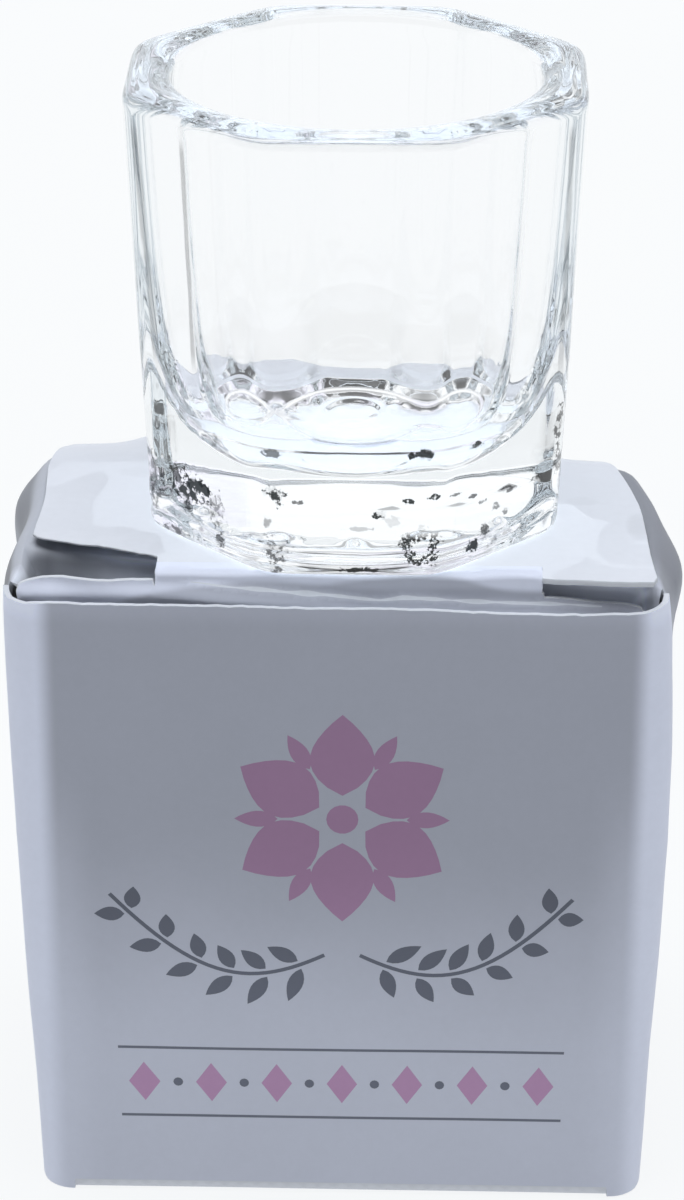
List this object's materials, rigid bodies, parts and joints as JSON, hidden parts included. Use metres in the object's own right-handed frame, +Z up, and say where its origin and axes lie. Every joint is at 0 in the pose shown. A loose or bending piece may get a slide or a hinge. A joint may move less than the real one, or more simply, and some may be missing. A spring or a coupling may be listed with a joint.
{
  "type": "dappen dish with folding carton",
  "caption": "Octagonal pressed-glass dappen dish standing on the lid of its reverse-tuck paperboard carton; lid, bottom and their flaps fold open.",
  "frame": {"origin": "centre of the carton's footprint, on the face it stands on", "axes": "+Z up, -Y towards the printed front panel, +X to the right as seen from the front"},
  "size_m": [0.046, 0.0332, 0.0822],
  "materials": {
    "clear_glass": "polished pressed glass, colourless with a faint grey-green edge tint",
    "white_board": "semi-matt white coated folding boxboard with white raw edges",
    "seam_glue": "dried dispersion adhesive"
  },
  "bodies": {
    "root": {"front_panel": "white_board", "back_panel": "white_board", "left_side_panel": "white_board", "right_side_panel": "white_board", "glue_flap": "white_board", "side_seam_adhesive": "seam_glue"},
    "dish": {"glass_dish": "clear_glass"},
    "lid": {"lid_panel": "white_board"},
    "lid_tuck": {"lid_tuck_flap": "white_board"},
    "top_left_dust": {"top_left_dust_flap": "white_board"},
    "top_right_dust": {"top_right_dust_flap": "white_board"},
    "base": {"bottom_panel": "white_board"},
    "base_tuck": {"bottom_tuck_flap": "white_board"},
    "bottom_left_dust": {"bottom_left_dust_flap": "white_board"},
    "bottom_right_dust": {"bottom_right_dust_flap": "white_board"}
  },
  "joints": [
    {"name": "dish_lift", "type": "slide", "parent": "root", "child": "dish", "axis": [0, 0, 1], "range_m": [0, 0.08]},
    {"name": "lid_hinge", "type": "hinge", "parent": "root", "child": "lid", "pos_m": [0, 0.0166, 0.0495], "axis": [-1, 0, 0], "range_deg": [0, 110]},
    {"name": "lid_tuck_fold", "type": "hinge", "parent": "lid", "child": "lid_tuck", "pos_m": [0, -0.015, 0.0483], "axis": [1, 0, 0], "range_deg": [0, 55]},
    {"name": "top_left_dust_fold", "type": "hinge", "parent": "root", "child": "top_left_dust", "pos_m": [-0.0226, 0, 0.0494], "axis": [0, -1, 0], "range_deg": [0, 77]},
    {"name": "top_right_dust_fold", "type": "hinge", "parent": "root", "child": "top_right_dust", "pos_m": [0.0226, 0, 0.0494], "axis": [0, 1, 0], "range_deg": [0, 77]},
    {"name": "bottom_hinge", "type": "hinge", "parent": "root", "child": "base", "pos_m": [0, -0.0166, 0.0004], "axis": [-1, 0, 0], "range_deg": [0, 110]},
    {"name": "bottom_tuck_fold", "type": "hinge", "parent": "base", "child": "base_tuck", "pos_m": [0, 0.0144, 0.0016], "axis": [1, 0, 0], "range_deg": [0, 55.5]},
    {"name": "bottom_left_dust_fold", "type": "hinge", "parent": "root", "child": "bottom_left_dust", "pos_m": [-0.0226, 0, 0.0005], "axis": [0, 1, 0], "range_deg": [0, 77.5]},
    {"name": "bottom_right_dust_fold", "type": "hinge", "parent": "root", "child": "bottom_right_dust", "pos_m": [0.0226, 0, 0.0005], "axis": [0, -1, 0], "range_deg": [0, 77.5]}
  ],
  "couplings": [
    {"joint": "lid_hinge", "follows": "dish_lift", "rad_per_m": 23.95},
    {"joint": "lid_tuck_fold", "follows": "dish_lift", "rad_per_m": 11.9},
    {"joint": "top_left_dust_fold", "follows": "dish_lift", "rad_per_m": 16.7},
    {"joint": "top_right_dust_fold", "follows": "dish_lift", "rad_per_m": 16.7},
    {"joint": "bottom_tuck_fold", "follows": "bottom_hinge", "ratio": 0.5},
    {"joint": "bottom_left_dust_fold", "follows": "bottom_hinge", "ratio": 0.7},
    {"joint": "bottom_right_dust_fold", "follows": "bottom_hinge", "ratio": 0.7}
  ]
}
